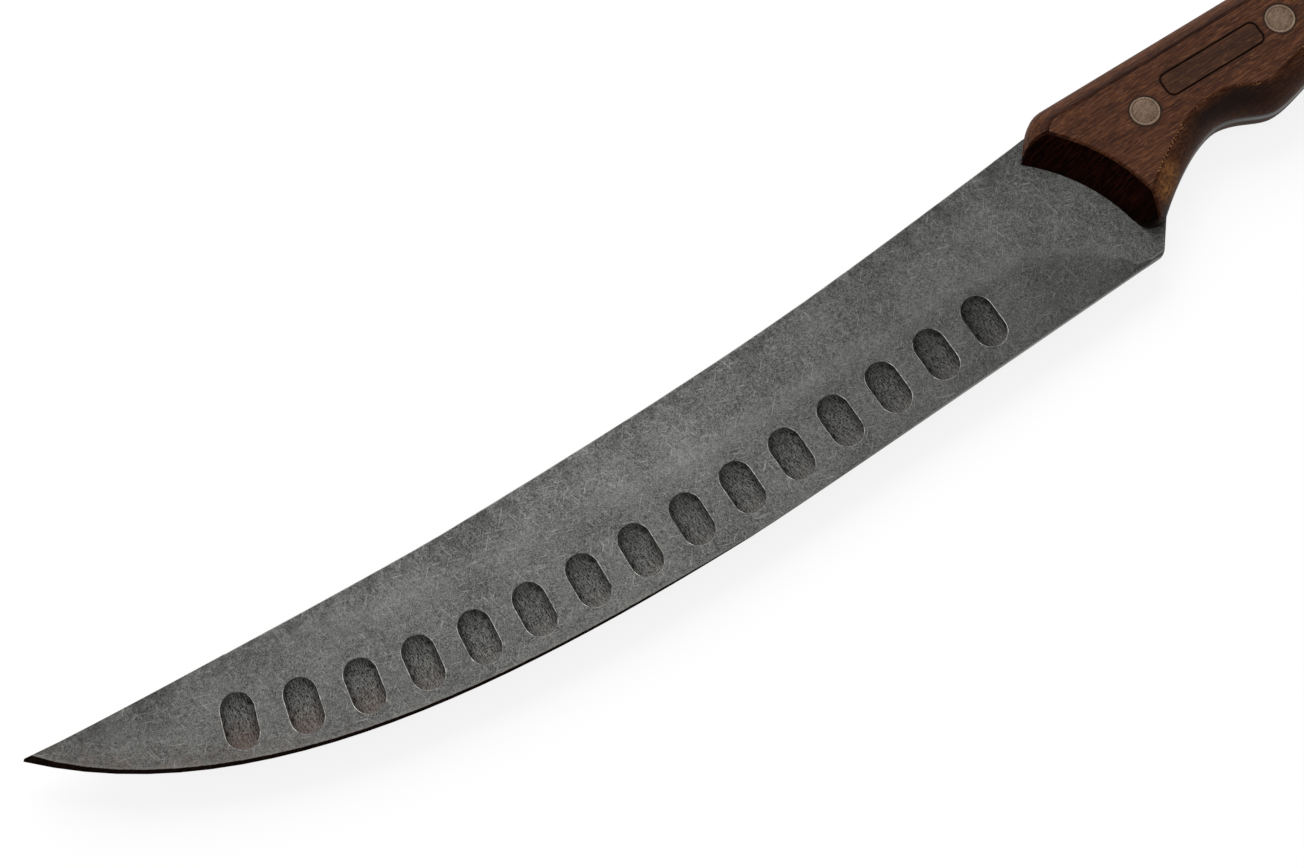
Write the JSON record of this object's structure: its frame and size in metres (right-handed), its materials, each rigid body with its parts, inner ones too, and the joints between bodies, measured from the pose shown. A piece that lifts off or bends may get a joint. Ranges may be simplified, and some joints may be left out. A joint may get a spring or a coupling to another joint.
{
  "type": "meat knife",
  "caption": "Long meat knife with a curved, hollow-pocketed blade, a full tang and a riveted wooden handle with a finger notch.",
  "frame": {"origin": "under the middle of the whole knife, on the flat outer face of the right handle half", "axes": "+X from the tip of the blade to the butt of the handle, +Y from the cutting edge to the spine, +Z out of the left side, which carries the stamped frame"},
  "size_m": [0.4412, 0.0546, 0.02],
  "materials": {
    "blade_steel": "dull tumbled steel with fine scratches, darker along the sharpened bevel",
    "handle_wood": "dark reddish-brown wood, grain along the handle, worn satin",
    "rivet_metal": "dull, rubbed flush with the wood"
  },
  "bodies": {
    "root": {"blade": "blade_steel", "left_scale": "handle_wood", "right_scale": "handle_wood", "front_rivet_socket": "rivet_metal", "front_rivet_pin": "rivet_metal", "middle_rivet_socket": "rivet_metal", "middle_rivet_pin": "rivet_metal", "rear_rivet_socket": "rivet_metal", "rear_rivet_pin": "rivet_metal"}
  },
  "joints": []
}
